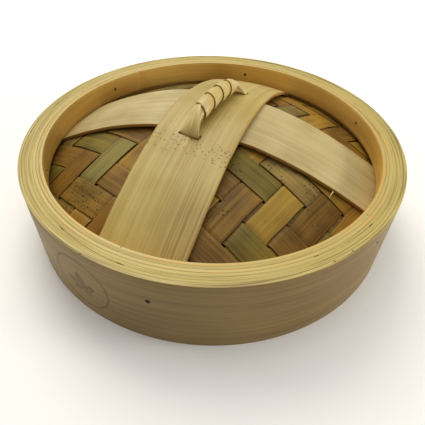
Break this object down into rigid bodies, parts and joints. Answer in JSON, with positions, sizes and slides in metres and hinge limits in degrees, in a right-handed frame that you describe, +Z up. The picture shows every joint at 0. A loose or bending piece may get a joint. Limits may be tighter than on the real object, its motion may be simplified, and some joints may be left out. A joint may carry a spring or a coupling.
{
  "type": "bamboo steamer lid",
  "caption": "Round bamboo steamer lid: a wall of bent plies, a domed twill mat, crossed straps and a bound strip handle.",
  "frame": {"origin": "centre of the wall's lower edge, on the plane that the lid rests on", "axes": "+Z up through the domed mat to the handle, along the wall's axis; +Y along the upper strap and the handle; +X along the lower strap"},
  "size_m": [0.2, 0.2, 0.0717],
  "materials": {
    "hoop_bamboo": "planed split bamboo, pale straw, matt",
    "ring_bamboo": "bent bamboo ply, golden, satin",
    "peg_bamboo": "whittled bamboo peg, brown, matt",
    "mat_bamboo": "split bamboo strips, mixed olive, ochre and brown, matt",
    "strap_bamboo": "split culm strap, pale cream, fine lengthwise grain",
    "handle_bamboo": "thin bamboo strip, pale, satin outside"
  },
  "bodies": {
    "root": {"hoop_1": "hoop_bamboo", "hoop_2": "hoop_bamboo", "hoop_3": "hoop_bamboo", "hoop_4": "hoop_bamboo", "hoop_5": "hoop_bamboo", "upper_ring_1": "ring_bamboo", "upper_ring_2": "ring_bamboo", "lower_ring_1": "ring_bamboo", "lower_ring_2": "ring_bamboo", "rim_pegs": "peg_bamboo", "lower_ring_pegs": "peg_bamboo", "mat_strip_a01": "mat_bamboo", "mat_strip_a02": "mat_bamboo", "mat_strip_a03": "mat_bamboo", "mat_strip_a04": "mat_bamboo", "mat_strip_a05": "mat_bamboo", "mat_strip_a06": "mat_bamboo", "mat_strip_a07": "mat_bamboo", "mat_strip_a08": "mat_bamboo", "mat_strip_a09": "mat_bamboo", "mat_strip_a10": "mat_bamboo", "mat_strip_a11": "mat_bamboo", "mat_strip_a12": "mat_bamboo", "mat_strip_a13": "mat_bamboo", "mat_strip_b01": "mat_bamboo", "mat_strip_b02": "mat_bamboo", "mat_strip_b03": "mat_bamboo", "mat_strip_b04": "mat_bamboo", "mat_strip_b05": "mat_bamboo", "mat_strip_b06": "mat_bamboo", "mat_strip_b07": "mat_bamboo", "mat_strip_b08": "mat_bamboo", "mat_strip_b09": "mat_bamboo", "mat_strip_b10": "mat_bamboo", "mat_strip_b11": "mat_bamboo", "mat_strip_b12": "mat_bamboo", "mat_strip_b13": "mat_bamboo", "upper_strap": "strap_bamboo", "lower_strap": "strap_bamboo", "handle_core": "handle_bamboo", "handle_binding": "handle_bamboo"}
  },
  "joints": []
}
